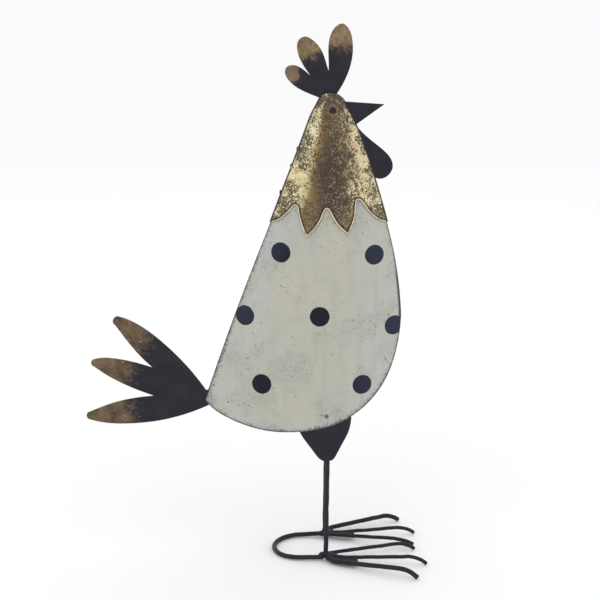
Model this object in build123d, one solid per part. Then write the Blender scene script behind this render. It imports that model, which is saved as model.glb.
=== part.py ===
from build123d import *
import os
from math import cos, radians, sqrt, tan

# Standing metal hen: two bowed sheet half shells on wire legs, with sheet comb, beak, wattle and tail.
# Millimetres. +X is forward (beak), +Y is the hen's left, +Z is up. The model is laid out with x = 0 on the
# leg rods and y = 0 on the seam between the half shells, then centred and set on the ground before export.

# ---------------------------------------------------------------- driving dimensions
SHELL_T = 0.8           # body sheet
CAPE_T = 0.5            # thin gold neck sheet laid over the shell
PLATE_T = 1.0           # flat sheet: comb, beak, wattle, tail, thighs
LAP_GAP = 0.1           # gap between sheets that lap
SOLDER_GAP = 0.06       # bead wire to the cape's face
BOW = 0.33              # depth of a half shell over half its width, the same at every height

LEG_D = 4.0             # leg rods and heel loop
TOE_D = 3.2             # separate toe wires
TRIM_D = 1.5            # bead wire along the cape's edge
WEB_T = 1.6             # brazed fill between the toes
GROUND_Z = 2.0          # height of the ground in this layout
STANCE = 26.3           # leg rod to the middle plane, at the foot
LEG_SPLAY = 0.036       # sideways lean of a leg rod per millimetre of height
LEG_LEAN = 0.0116       # forward lean, likewise
LEG_TOP_Z = 158.0       # upper end of a leg rod above the ground, inside the shell
FOOT_Z = 3.4            # centre height of the wires above the ground where a foot is welded
LOOP_REAR_Z = 2.0       # the heel loop's rear rests on the ground

EYE_X, EYE_Z = 4.6, 383.8
EYE_D, EYE_RISE = 5.6, 1.5
EYE_SHANK_D, EYE_SHANK_L = 2.0, 3.0
EYE_HOLE_D = 2.2

TACK_R = 1.9            # weld lumps on the back seam
TACK_GAP = 0.15         # lump to the seam's edge
FOOT_WELD_R = 3.3       # weld lump that joins the wires of a foot
FOOT_WELD = (0.3, 24.7, 5.4)    # its x, distance from the middle plane, height above the ground
LEG_WELD_R = 2.9        # weld lump between a leg rod and its thigh
LEG_WELD_SHIFT = 0.8    # how far such a lump sits from the rod's centre, towards the thigh
DEPTH = 60.0            # half length of a cutting block across the hen

SIDES = {"right": -1, "left": 1}

# Side edges of the bowed shells: height, back seam x, breast seam x.
SHELL_SECTIONS = [
    (92.0, -119.4, 63.0),
    (113.0, -112.0, 63.0),
    (135.0, -104.2, 63.0),
    (175.0, -90.4, 63.1),
    (216.0, -75.6, 62.9),
    (255.0, -60.8, 58.4),
    (290.0, -47.0, 50.4),
    (320.0, -35.6, 41.8),
    (345.0, -25.9, 33.8),
    (365.0, -18.4, 26.6),
    (380.0, -12.8, 19.4),
    (390.0, -7.6, 14.4),
    (399.0, -3.0, 11.0),
]

# Rim of a shell where it leaves the seams: from the breast, round the belly, to the tail corner.
RIM = [
    (63.4, 226.0),
    (62.4, 201.5),
    (56.8, 174.0),
    (46.7, 153.0),
    (30.5, 136.0),
    (8.0, 123.6),
    (-19.7, 118.6),
    (-50.0, 118.6),
    (-77.7, 124.6),
    (-95.3, 131.6),
    (-104.0, 138.2),
]

# Zigzag edge of the cape: each run goes from one pointed tongue, over a tight round, to the next.
ZIGZAG = [
    [(-45.0, 292.4), (-39.8, 294.4), (-34.8, 298.6), (-30.5, 303.0), (-26.9, 307.2), (-24.2, 306.6),
     (-22.8, 300.2), (-21.1, 293.4), (-18.8, 287.2), (-16.2, 282.4)],
    [(-16.2, 282.4), (-13.0, 285.8), (-9.2, 290.1), (-5.5, 295.9), (-2.7, 302.4), (-0.9, 305.2), (1.3, 304.9),
     (4.5, 299.3), (7.8, 293.9), (12.0, 289.0), (17.3, 284.3)],
    [(17.3, 284.3), (19.0, 288.2), (21.3, 293.9), (22.9, 300.5), (23.4, 307.1), (24.6, 312.0), (27.4, 311.8),
     (31.4, 307.0), (34.8, 302.2), (39.2, 297.7), (44.4, 294.3), (49.0, 292.4)],
]
CAPE_SIDES = [(54.0, 290.4), (-51.2, 290.0)]    # the cape's lower corners, carried past the seams

COMB_LOBES = [
    [(-5.5, 393.4), (-13.6, 396.6), (-23.9, 401.6), (-31.8, 408.5), (-34.2, 414.8), (-32.9, 418.2),
     (-27.3, 419.9), (-19.6, 416.6), (-13.7, 411.7)],
    [(-13.7, 411.7), (-21.0, 422.6), (-24.2, 432.0), (-23.4, 439.4), (-18.0, 442.7), (-12.0, 440.1),
     (-5.6, 433.3), (-0.6, 421.1), (1.1, 415.4)],
    [(1.1, 415.4), (0.9, 434.0), (3.0, 444.9), (7.2, 450.9), (12.0, 453.0), (17.2, 449.0), (20.3, 439.5),
     (20.6, 430.0), (17.0, 414.0), (7.6, 396.5)],
]
COMB_ROOT = [(9.0, 388.5), (-3.6, 388.5)]

BEAK = [(9.5, 390.4), (13.3, 390.8), (46.8, 388.5), (23.7, 371.9), (18.0, 375.0)]

WATTLE_EDGE = [(24.3, 371.0), (31.2, 363.5), (45.4, 351.9), (52.2, 344.6), (54.2, 337.5), (49.3, 329.3),
               (39.4, 328.6)]
WATTLE_ROOT = [(34.0, 330.5), (19.0, 370.0)]

# Each feather, from the top one down: upper edge to the tip, the tip's end, lower edge back to the notch.
TAIL_FEATHERS = [
    ([(-101.8, 146.3), (-116.6, 166.0), (-136.5, 186.8), (-156.4, 202.6), (-170.0, 209.4), (-175.6, 211.0)],
     (-179.0, 208.9),
     [(-177.4, 202.9), (-168.0, 189.6), (-157.1, 176.2), (-147.0, 166.3)]),
    ([(-147.0, 166.3), (-160.6, 170.4), (-177.5, 174.0), (-190.0, 174.7), (-196.2, 173.7)],
     (-199.0, 171.2),
     [(-196.6, 167.1), (-184.7, 158.8), (-167.9, 149.9), (-146.4, 141.3)]),
    ([(-146.4, 141.3), (-161.4, 139.6), (-178.6, 135.9), (-192.4, 131.0), (-201.0, 127.3)],
     (-204.4, 123.9),
     [(-201.2, 120.2), (-189.4, 117.5), (-167.0, 116.7), (-141.4, 119.5), (-120.7, 124.8), (-100.1, 133.0)]),
]
TAIL_ROOT = [(-92.0, 141.0), (-94.0, 149.0)]

THIGH_EDGE = [(-25.3, 134.0), (-21.9, 117.2), (-11.5, 101.8), (-1.3, 91.6), (3.4, 91.4), (10.6, 100.4),
              (19.0, 116.6), (21.2, 128.0)]
THIGH_TOP = [(19.5, 150.0), (-22.5, 152.0)]

# Corners of the foot wires, to the tip: x, distance from the middle plane, height above the ground. The bend
# radii are for the corners between the ends.
OUTER_TOES = {
    "right": [(0.0, 26.3, 3.4), (7.0, 36.4, 3.7), (67.3, 62.6, 8.0), (75.8, 66.0, 1.9)],
    "left": [(0.0, 26.3, 3.4), (5.0, 38.8, 3.8), (59.5, 59.8, 8.0), (67.8, 63.3, 1.9)],
}
CENTRE_TOES = {
    "right": [(4.3, 26.0, 4.6), (17.0, 30.4, 4.8), (77.0, 36.6, 8.2), (85.4, 36.3, 1.7)],
    "left": [(4.3, 26.2, 4.6), (17.0, 26.4, 4.8), (71.5, 29.6, 8.2), (79.8, 32.8, 1.7)],
}
INNER_TOES = {
    "right": [(-4.5, 22.3, 4.8), (1.5, 22.0, 4.8), (12.0, 17.6, 4.8), (68.6, 6.4, 8.2), (77.4, 3.6, 1.7)],
    "left": [(-4.5, 22.3, 4.8), (1.5, 22.0, 4.8), (11.0, 19.2, 4.8), (68.5, 2.4, 8.2), (76.9, 6.6, 1.7)],
}
OUTER_BENDS = [6.0, 8.0, 22.0]
CENTRE_BENDS = [20.0, 22.0]
INNER_BENDS = [9.0, 12.0, 22.0]
# Corners of one arm of the heel loop in plan, from the leg back to the middle of the rear.
LOOP_ARM = [(-2.2, 26.5), (-33.6, 25.2), (-44.4, 7.75)]
LOOP_BENDS = [24.0, 27.0]
TRIM_BEND_R = 1.6

# Brazed fills of a foot: four corners between two wires, with the distance from the middle plane.
OUTER_WEB = {
    "right": [(4.0, 28.0, 4.4), (27.0, 31.4, 5.3), (27.0, 45.1, 5.1), (7.5, 36.8, 3.9)],
    "left": [(3.5, 28.0, 4.4), (8.0, 26.3, 4.7), (8.0, 40.0, 4.0), (5.0, 37.6, 3.9)],
}
INNER_WEB = {
    "right": [(2.0, 26.0, 4.6), (9.5, 27.6, 4.7), (10.0, 18.6, 4.8), (2.0, 21.8, 4.8)],
    "left": [(2.0, 25.6, 4.6), (26.0, 26.9, 5.4), (26.0, 14.8, 5.7), (2.0, 22.0, 4.8)],
}

BACK_TACKS = [352.0, 338.0, 316.0]      # heights of the weld lumps on the back seam
LEG_WELDS = [98.0, 128.0, 146.0]        # heights above the ground of the weld lumps on a leg rod


# ---------------------------------------------------------------- the bowed surface
def half_section(height, back_x, breast_x, lift_in, lift_out):
    """A slice of the right half: the strip between two arcs that share a centre, closed on the middle plane."""
    half_width = (breast_x - back_x) / 2
    middle_x = (breast_x + back_x) / 2
    depth = BOW * half_width
    radius = (half_width**2 + depth**2) / (2 * depth)
    set_back = radius - depth
    arcs = []
    for lift in (lift_out, lift_in):
        reach = sqrt((radius + lift) ** 2 - set_back**2)
        crest = (middle_x, -(depth + lift), height)
        arcs.append([(middle_x - reach, 0, height), crest, (middle_x + reach, 0, height)])
    outer, inner = arcs
    edges = [
        ThreePointArc(*outer),
        Line(outer[2], inner[2]),
        ThreePointArc(*inner),
        Line(inner[0], outer[0]),
    ]
    return Face(Wire(edges))


def bowed_sheet(low, high, lift_in, lift_out):
    """The right half of a bowed skin between two heights; lifts are measured outward from the shell's outside.

    Slices of the same bow make a run of cone pieces, so lapped skins keep an even gap.
    """
    slices = [half_section(*row, lift_in, lift_out) for row in SHELL_SECTIONS if low <= row[0] <= high]
    return loft(slices, ruled=True)


def block(*edges):
    """A block that runs right across the hen, with the closed outline of these x, z edges."""
    return extrude(Plane.XZ * Face(Wire(edges)), amount=DEPTH, both=True)


def polyline_edges(points):
    """Straight edges through the points."""
    return [Line(a, b) for a, b in zip(points, points[1:])]


def plate(edges, thickness):
    """A flat sheet on the middle plane with this closed outline."""
    return extrude(Plane.XZ * Face(Wire(edges)), amount=thickness / 2, both=True)


def lobed_plate(lobes, root, thickness):
    """A flat sheet whose outline is a chain of smooth lobes closed by a straight root."""
    edges = [Spline(*lobe) for lobe in lobes]
    edges += polyline_edges([lobes[-1][-1], *root, lobes[0][0]])
    return plate(edges, thickness)


def feathered_plate(feathers, root, thickness):
    """A flat sheet of feathers, each with two smooth edges that meet in a small round tip."""
    edges = []
    for upper, tip, lower in feathers:
        edges += [Spline(*upper), ThreePointArc(upper[-1], tip, lower[0]), Spline(*lower)]
    edges += polyline_edges([feathers[-1][2][-1], *root, feathers[0][0][0]])
    return plate(edges, thickness)


def round_wire(corners, bend_radii, diameter):
    """Round wire along straight runs joined by bends, one radius for each corner between the ends."""
    points = [Vector(*corner) for corner in corners]
    edges = []
    start = points[0]
    for before, corner, after, radius in zip(points, points[1:], points[2:], bend_radii):
        inward = (before - corner).normalized()
        outward = (after - corner).normalized()
        half_turn = radians(180 - inward.get_angle(outward)) / 2
        reach = radius * tan(half_turn)
        middle = corner + (inward + outward).normalized() * (radius / cos(half_turn) - radius)
        end = corner + outward * reach
        edges += [Line(start, corner + inward * reach), ThreePointArc(corner + inward * reach, middle, end)]
        start = end
    path = Wire([*edges, Line(start, points[-1])])
    return sweep(Plane(path @ 0, z_dir=path % 0) * Circle(diameter / 2), path=path).solid()


def on_skin(skin, x, height):
    """The point of the skin's outside beside (x, height), and the outward direction there."""
    hits = skin.find_intersection_points(Axis((x, -DEPTH, height), (0, 1, 0)))
    point, normal = min(hits, key=lambda hit: hit[0].Y)
    if normal.Y > 0:
        normal = normal * -1
    return point, normal


def largest(shape):
    """The biggest solid of a shape, without the chips that a cut leaves."""
    return max(shape.solids(), key=lambda solid: solid.volume)


def boxes_meet(first, second):
    """True where the bounding boxes of two shapes overlap."""
    ours, theirs = first.bounding_box(), second.bounding_box()
    along_x = ours.min.X < theirs.max.X and theirs.min.X < ours.max.X
    return along_x and ours.min.Z < theirs.max.Z and theirs.min.Z < ours.max.Z


def cut(shape, tools):
    """The biggest solid left of a shape when each tool that is near it has been cut away."""
    shape = largest(shape)
    for tool in tools:
        if boxes_meet(shape, tool):
            shape = largest(shape - tool)
    return shape


def left_of(shape):
    """The same piece on the hen's left side."""
    return mirror(shape, about=Plane.XZ)


# ---------------------------------------------------------------- flat sheet pieces in the seam
comb = lobed_plate(COMB_LOBES, COMB_ROOT, PLATE_T)
beak = plate(polyline_edges([*BEAK, BEAK[0]]), PLATE_T)
wattle = lobed_plate([WATTLE_EDGE], WATTLE_ROOT, PLATE_T)
tail = feathered_plate(TAIL_FEATHERS, TAIL_ROOT, PLATE_T)
seam_plates = [comb, beak, wattle, tail]

# ---------------------------------------------------------------- body shell, neck cape and its bead
BLOCK_TOP, BLOCK_FRONT, BLOCK_BACK = 388.0, 90.0, -150.0
crown = ThreePointArc((16.0, BLOCK_TOP), (3.0, 397.7), (-10.0, BLOCK_TOP + 1))
body_outline = block(
    Spline(*RIM, tangents=[(0, -1), (-1, 0.75)]),
    *polyline_edges([RIM[-1], (BLOCK_BACK, 170.0), (BLOCK_BACK, BLOCK_TOP + 1), (-10.0, BLOCK_TOP + 1)]),
    crown,
    *polyline_edges([(16.0, BLOCK_TOP), (BLOCK_FRONT, BLOCK_TOP), (BLOCK_FRONT, 226.0), RIM[0]]),
)
skin = bowed_sheet(92.0, 399.0, -SHELL_T, 0.0)
right_shell = skin & body_outline

cape_outline = block(
    Line(CAPE_SIDES[1], ZIGZAG[0][0]),
    *[Spline(*run) for run in ZIGZAG],
    *polyline_edges([ZIGZAG[-1][-1], CAPE_SIDES[0], (BLOCK_FRONT, BLOCK_TOP), (16.0, BLOCK_TOP)]),
    crown,
    *polyline_edges([(-10.0, BLOCK_TOP + 1), (BLOCK_BACK, BLOCK_TOP + 1), CAPE_SIDES[1]]),
)
cape_blank = bowed_sheet(255.0, 399.0, LAP_GAP, LAP_GAP + CAPE_T)
right_cape = cape_blank & cape_outline

# The bead is three bent wires; each later one starts clear of the tip that the one before it makes.
trim_wires = []
for run in ZIGZAG:
    (x0, z0), (x1, z1) = run[:2]
    start = run[0] if run is ZIGZAG[0] else ((x0 + x1) / 2, (z0 + z1) / 2)
    route = []
    for x, height in (start, *run[1:]):
        point, normal = on_skin(cape_blank, x, height)
        route.append(point + normal * (TRIM_D / 2 + SOLDER_GAP))
    trim_wires.append(round_wire(route, [TRIM_BEND_R] * (len(route) - 2), TRIM_D))
right_trim = Compound(children=trim_wires)

eye_point, eye_normal = on_skin(cape_blank, EYE_X, EYE_Z)
eye_plane = Plane(eye_point, z_dir=eye_normal)
dome_r = (EYE_D**2 / 4 + EYE_RISE**2) / (2 * EYE_RISE)
dome_limit = Pos(0, 0, EYE_RISE) * Box(EYE_D * 2, EYE_D * 2, EYE_RISE * 2)
dome = Pos(0, 0, EYE_RISE - dome_r) * Sphere(dome_r) & dome_limit
right_eye = eye_plane * (dome + Pos(0, 0, -EYE_SHANK_L / 2) * Cylinder(EYE_SHANK_D / 2, EYE_SHANK_L))
eye_hole = eye_plane * Cylinder(EYE_HOLE_D / 2, 4 * EYE_SHANK_L)

right_shell = right_shell - eye_hole
right_cape = right_cape - eye_hole
right_shell = cut(right_shell, seam_plates)
right_cape = cut(right_cape, seam_plates)

# ---------------------------------------------------------------- thighs, legs and feet
thigh_outline = block(
    Spline(*THIGH_EDGE),
    *polyline_edges([THIGH_EDGE[-1], *THIGH_TOP, THIGH_EDGE[0]]),
)
THIGH_LIFT = -(SHELL_T + LAP_GAP)
right_thigh = largest(bowed_sheet(92.0, 175.0, THIGH_LIFT - PLATE_T, THIGH_LIFT) & thigh_outline)


def on_side(corners, side):
    """Foot corners on one side of the hen: signed y, and heights from above the ground to this layout's."""
    return [(x, side * y, GROUND_Z + z) for x, y, z in corners]


def web(corners, side, wires):
    """A brazed fill between wires, as a thin plate cut to them."""
    points = [Vector(*corner) for corner in on_side(corners, side)]
    edge = points[1] - points[0]
    plane = Plane(points[0], x_dir=edge, z_dir=edge.cross(points[2] - points[0]))
    flat = [plane.to_local_coords(point) for point in points]
    outline = Polyline(*[(point.X, point.Y) for point in flat], close=True)
    fill = extrude(plane * make_face(outline), amount=WEB_T / 2, both=True)
    return cut(fill, wires)


def rod_at(height):
    """The centre of a leg rod at a height above the ground, as x, distance from the middle plane, height."""
    rise = height - FOOT_Z
    return (LEG_LEAN * rise, STANCE - LEG_SPLAY * rise, height)


foot_pieces = {}
for name, side in SIDES.items():
    leg_corners = on_side([rod_at(LEG_TOP_Z), *OUTER_TOES[name]], side)
    foot_pieces[f"{name}_leg"] = round_wire(leg_corners, OUTER_BENDS, LEG_D)
    foot_pieces[f"{name}_centre_toe"] = round_wire(on_side(CENTRE_TOES[name], side), CENTRE_BENDS, TOE_D)
    foot_pieces[f"{name}_inner_toe"] = round_wire(on_side(INNER_TOES[name], side), INNER_BENDS, TOE_D)

# The loop slopes down from the feet to its rear, which rests on the ground.
loop_slope = (FOOT_Z - LOOP_REAR_Z) / (LOOP_ARM[0][0] - LOOP_ARM[-1][0])
arm = [(x, y, LOOP_REAR_Z + (x - LOOP_ARM[-1][0]) * loop_slope) for x, y in LOOP_ARM]
heel_loop = round_wire(on_side(arm, -1) + on_side(arm[::-1], 1), [*LOOP_BENDS, *LOOP_BENDS[::-1]], LEG_D)


# ---------------------------------------------------------------- welds
def back_seam_x(height, lift):
    """x of the back seam's edge at a height, between the listed slices, for a skin at this lift."""
    for below, above in zip(SHELL_SECTIONS, SHELL_SECTIONS[1:]):
        if below[0] <= height <= above[0]:
            share = (height - below[0]) / (above[0] - below[0])
            back_x = below[1] + share * (above[1] - below[1])
            breast_x = below[2] + share * (above[2] - below[2])
            half_width = (breast_x - back_x) / 2
            radius = half_width * (1 + BOW**2) / (2 * BOW)
            proud = sqrt((radius + lift) ** 2 - (radius - BOW * half_width) ** 2) - half_width
            return back_x - proud
    raise ValueError(height)


tacks = []
for height in BACK_TACKS:
    centre_x = back_seam_x(height, LAP_GAP + CAPE_T) - TACK_R - TACK_GAP
    tacks.append((Pos(centre_x, 0, height) * Sphere(TACK_R)).solid())

foot_welds = []
foot_webs = {}
leg_welds = []
for name, side in SIDES.items():
    wires = [foot_pieces[f"{name}_{kind}"] for kind in ("leg", "centre_toe", "inner_toe")]
    bead = cut(Pos(*on_side([FOOT_WELD], side)) * Sphere(FOOT_WELD_R), (*wires, heel_loop))
    foot_welds.append(bead)
    webs = [web(corners[name], side, (*wires, bead)) for corners in (OUTER_WEB, INNER_WEB)]
    foot_webs[f"{name}_foot_web"] = Compound(children=webs)
    thigh = right_thigh if name == "right" else left_of(right_thigh)
    for height in LEG_WELDS:
        (x, y, z), = on_side([rod_at(height)], side)
        bead = Pos(x, y + side * LEG_WELD_SHIFT, z) * Sphere(LEG_WELD_R)
        leg_welds.append(cut(bead, (wires[0], thigh)))

# ---------------------------------------------------------------- assembly
nodes = {
    "right_body_shell": right_shell,
    "left_body_shell": left_of(right_shell),
    "right_neck_cape": right_cape,
    "left_neck_cape": left_of(right_cape),
    "right_cape_trim": right_trim,
    "left_cape_trim": left_of(right_trim),
    "comb": comb,
    "beak": beak,
    "wattle": wattle,
    "tail": tail,
    "right_eye": right_eye,
    "left_eye": left_of(right_eye),
    "right_thigh": right_thigh,
    "left_thigh": left_of(right_thigh),
    "heel_loop": heel_loop,
    "seam_tack_welds": Compound(children=tacks),
    "foot_welds": Compound(children=foot_welds),
    "leg_welds": Compound(children=leg_welds),
    **foot_pieces,
    **foot_webs,
}

box = Compound(children=[Compound(shape.solids()) for shape in nodes.values()]).bounding_box()
to_origin = Pos(-(box.min.X + box.max.X) / 2, 0, -box.min.Z)
os.makedirs("parts", exist_ok=True)
for name, shape in nodes.items():
    export_step(to_origin * Compound(shape.solids()), f"parts/{name}.step")
print("moved by", to_origin.position, "size", box.size)
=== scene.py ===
"""A standing sheet-metal hen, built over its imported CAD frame. The shape tables are in millimetres."""

import math

import bmesh
import bpy
import numpy as np
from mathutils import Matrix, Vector, noise


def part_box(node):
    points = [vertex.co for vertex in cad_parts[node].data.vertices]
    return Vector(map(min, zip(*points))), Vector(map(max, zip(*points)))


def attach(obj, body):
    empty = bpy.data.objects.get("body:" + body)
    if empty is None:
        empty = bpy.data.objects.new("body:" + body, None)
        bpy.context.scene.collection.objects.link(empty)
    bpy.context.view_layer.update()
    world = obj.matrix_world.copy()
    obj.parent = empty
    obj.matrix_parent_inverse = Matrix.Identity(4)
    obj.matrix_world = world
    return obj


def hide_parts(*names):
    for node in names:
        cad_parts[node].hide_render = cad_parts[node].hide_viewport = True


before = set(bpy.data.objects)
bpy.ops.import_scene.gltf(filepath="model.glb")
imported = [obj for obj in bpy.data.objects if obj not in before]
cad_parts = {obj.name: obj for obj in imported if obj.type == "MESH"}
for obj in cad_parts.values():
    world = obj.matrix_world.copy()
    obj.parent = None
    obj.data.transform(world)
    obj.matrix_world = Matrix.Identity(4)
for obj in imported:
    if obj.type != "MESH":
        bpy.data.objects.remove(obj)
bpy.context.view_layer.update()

MM = 0.001
# The shape tables measure x from the leg rods and put the ground at this height, as the CAD does.
GROUND_Z = 2.0
LEG_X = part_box("beak")[0][0] - 9.5 * MM

# ------------------------------------------------------------------ shape tables, as in the CAD
SHELL_T = 0.8
CAPE_LOW, CAPE_HIGH = 0.1, 0.6
BOW = 0.33
SHELL_SECTIONS = [
    (92.0, -119.4, 63.0), (113.0, -112.0, 63.0), (135.0, -104.2, 63.0), (175.0, -90.4, 63.1),
    (216.0, -75.6, 62.9), (255.0, -60.8, 58.4), (290.0, -47.0, 50.4), (320.0, -35.6, 41.8),
    (345.0, -25.9, 33.8), (365.0, -18.4, 26.6), (380.0, -12.8, 19.4), (390.0, -7.6, 14.4),
    (399.0, -3.0, 11.0),
]
RIM = [
    (63.4, 226.0), (62.4, 201.5), (56.8, 174.0), (46.7, 153.0), (30.5, 136.0), (8.0, 123.6), (-19.7, 118.6),
    (-50.0, 118.6), (-77.7, 124.6), (-95.3, 131.6), (-104.0, 138.2),
]
ZIGZAG = [
    [(-45.0, 292.4), (-39.8, 294.4), (-34.8, 298.6), (-30.5, 303.0), (-26.9, 307.2), (-24.2, 306.6),
     (-22.8, 300.2), (-21.1, 293.4), (-18.8, 287.2), (-16.2, 282.4)],
    [(-16.2, 282.4), (-13.0, 285.8), (-9.2, 290.1), (-5.5, 295.9), (-2.7, 302.4), (-0.9, 305.2), (1.3, 304.9),
     (4.5, 299.3), (7.8, 293.9), (12.0, 289.0), (17.3, 284.3)],
    [(17.3, 284.3), (19.0, 288.2), (21.3, 293.9), (22.9, 300.5), (23.4, 307.1), (24.6, 312.0), (27.4, 311.8),
     (31.4, 307.0), (34.8, 302.2), (39.2, 297.7), (44.4, 294.3), (49.0, 292.4)],
]
ZIGZAG_ENDS = [(-51.2, 290.0), (54.0, 290.4)]
CROWN = (3.0, 383.85, 13.85)    # centre x, centre z, radius
CROWN_FOOT_Z = 388.5

# Foot corners: x, distance from the middle plane, height above the ground.
# Each inner corner has one bend radius.
OUTER_TOES = {
    "right": [(0.0, 26.3, 3.4), (7.0, 36.4, 3.7), (67.3, 62.6, 8.0), (75.8, 66.0, 1.9)],
    "left": [(0.0, 26.3, 3.4), (5.0, 38.8, 3.8), (59.5, 59.8, 8.0), (67.8, 63.3, 1.9)],
}
CENTRE_TOES = {
    "right": [(4.3, 26.0, 4.6), (17.0, 30.4, 4.8), (77.0, 36.6, 8.2), (85.4, 36.3, 1.7)],
    "left": [(4.3, 26.2, 4.6), (17.0, 26.4, 4.8), (71.5, 29.6, 8.2), (79.8, 32.8, 1.7)],
}
INNER_TOES = {
    "right": [(-4.5, 22.3, 4.8), (1.5, 22.0, 4.8), (12.0, 17.6, 4.8), (68.6, 6.4, 8.2), (77.4, 3.6, 1.7)],
    "left": [(-4.5, 22.3, 4.8), (1.5, 22.0, 4.8), (11.0, 19.2, 4.8), (68.5, 2.4, 8.2), (76.9, 6.6, 1.7)],
}
OUTER_BENDS, CENTRE_BENDS, INNER_BENDS = [6.0, 8.0, 22.0], [20.0, 22.0], [9.0, 12.0, 22.0]
LOOP_ARM, LOOP_BENDS = [(-2.2, 26.5), (-33.6, 25.2), (-44.4, 7.75)], [24.0, 27.0]
FOOT_Z, LOOP_REAR_Z, LEG_TOP_Z, STANCE, LEG_SPLAY, LEG_LEAN = 3.4, 2.0, 158.0, 26.3, 0.036, 0.0116
SIDES = {"right": -1, "left": 1}
ROD_D, TOE_D = 4.0, 3.2
BEAD_D, BEAD_LIFT, BEAD_STEP = 1.4, 0.45, 0.2    # cape trim: diameter, height over the cape, least step
PLATE_BEVEL, WEB_BEVEL = 0.22, 0.35

DOTS = [
    (-37.9, 267.7), (39.5, 265.7), (-68.1, 213.3), (-5.7, 216.0), (56.6, 204.7),
    (-54.0, 157.9), (30.0, 156.6),
]
DOT_R = 8.2

SEAM_OFF = 0.03          # keeps the two sides' seam edges just apart
DENT_PITCH_X, DENT_PITCH_Z, SIDE_SHIFT = 0.035, 0.022, 7.3
DENT_FADE = 8.0          # dents die out over this distance from an edge
SHELL_DENT = 0.22
HALVINGS = 40            # of a search interval
WOBBLE_PITCH, DENT_PITCH, DENT_SPREAD = 0.11, 0.45, 0.9    # how fast a wire's noise changes
END_RINGS = 6            # rings over which a wire's wobble grows from its cut end


# ------------------------------------------------------------------ geometry helpers
def at(x, y, z):
    """Millimetres in the tables' layout to metres in the row frame."""
    return (LEG_X + x * MM, y * MM, (z - GROUND_Z) * MM)


def smooth_through(points, step):
    """Points along a centripetal curve through the given ones, about step apart."""
    pts = [np.array(p, float) for p in points]
    pts = [2 * pts[0] - pts[1], *pts, 2 * pts[-1] - pts[-2]]
    out = []
    for p0, p1, p2, p3 in zip(pts, pts[1:], pts[2:], pts[3:]):
        t0 = 0.0
        t1 = t0 + np.linalg.norm(p1 - p0) ** 0.5
        t2 = t1 + np.linalg.norm(p2 - p1) ** 0.5
        t3 = t2 + np.linalg.norm(p3 - p2) ** 0.5
        count = max(2, int(np.linalg.norm(p2 - p1) / step))
        for t in np.linspace(t1, t2, count, endpoint=False):
            a1 = (t1 - t) / (t1 - t0) * p0 + (t - t0) / (t1 - t0) * p1
            a2 = (t2 - t) / (t2 - t1) * p1 + (t - t1) / (t2 - t1) * p2
            a3 = (t3 - t) / (t3 - t2) * p2 + (t - t2) / (t3 - t2) * p3
            b1 = (t2 - t) / (t2 - t0) * a1 + (t - t0) / (t2 - t0) * a2
            b2 = (t3 - t) / (t3 - t1) * a2 + (t - t1) / (t3 - t1) * a3
            out.append((t2 - t) / (t2 - t1) * b1 + (t - t1) / (t2 - t1) * b2)
    out.append(pts[-2])
    return np.array(out)


SEAM_CURVE = smooth_through(SHELL_SECTIONS, 1.0)


def skin(u, z, lift):
    """Point of the bowed skin: u runs from the back seam (0) to the breast seam (1); arrays are fine."""
    back = np.interp(z, SEAM_CURVE[:, 0], SEAM_CURVE[:, 1])
    breast = np.interp(z, SEAM_CURVE[:, 0], SEAM_CURVE[:, 2])
    half = (breast - back) / 2
    radius = half * (1 + BOW**2) / (2 * BOW)
    set_back = radius - BOW * half
    reach = np.arccos(set_back / (radius + lift))
    turn = (2 * u - 1) * reach
    x = (back + breast) / 2 + (radius + lift) * np.sin(turn)
    depth = (radius + lift) * np.cos(turn) - set_back
    return x, depth, radius * (reach - np.abs(turn))


def u_of(x, z, lift):
    """The u of the skin point whose side view is (x, z)."""
    low, high = 0.0, 1.0
    for _ in range(HALVINGS):
        mid = (low + high) / 2
        if skin(mid, z, lift)[0] < x:
            low = mid
        else:
            high = mid
    return (low + high) / 2


def bisect_z(us, inside, z_out, z_in, lift):
    """For each u, the height where the skin crosses an outline."""
    z_out = np.full(len(us), float(z_out))
    z_in = np.full(len(us), float(z_in))
    for _ in range(HALVINGS):
        mid = (z_out + z_in) / 2
        x = skin(us, mid, lift)[0]
        hit = inside(x, mid)
        z_in = np.where(hit, mid, z_in)
        z_out = np.where(hit, z_out, mid)
    return z_in


RIM_CENTRE = (-20.0, 230.0)
rim_line = smooth_through(RIM, 1.0)
rim_angle = np.arctan2(rim_line[:, 1] - RIM_CENTRE[1], rim_line[:, 0] - RIM_CENTRE[0])
rim_reach = np.hypot(rim_line[:, 0] - RIM_CENTRE[0], rim_line[:, 1] - RIM_CENTRE[1])
rim_order = np.argsort(rim_angle)


def rim_room(x, z):
    """How far a side-view point is inside the rim, along a line from the belly's middle."""
    angle = np.arctan2(z - RIM_CENTRE[1], x - RIM_CENTRE[0])
    reach = np.interp(angle, rim_angle[rim_order], rim_reach[rim_order], left=1e3, right=1e3)
    return reach - np.hypot(x - RIM_CENTRE[0], z - RIM_CENTRE[1])


zigzag_line = np.vstack([smooth_through(run, 0.6) for run in ZIGZAG])
zigzag_full = np.vstack([ZIGZAG_ENDS[0], zigzag_line, ZIGZAG_ENDS[1]])


def above_zigzag(x, z):
    """True where a side-view point lies above the cape's lower edge."""
    return z > np.interp(x, zigzag_full[:, 0], zigzag_full[:, 1])


def under_crown(x, z):
    """True where a side-view point lies under the rounded top of the head."""
    return (z <= CROWN_FOOT_Z) | (np.hypot(x - CROWN[0], z - CROWN[1]) <= CROWN[2])


def new_object(name, mesh):
    """An object for a mesh, linked to the scene."""
    obj = bpy.data.objects.new(name, mesh)
    bpy.context.scene.collection.objects.link(obj)
    return obj


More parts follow.
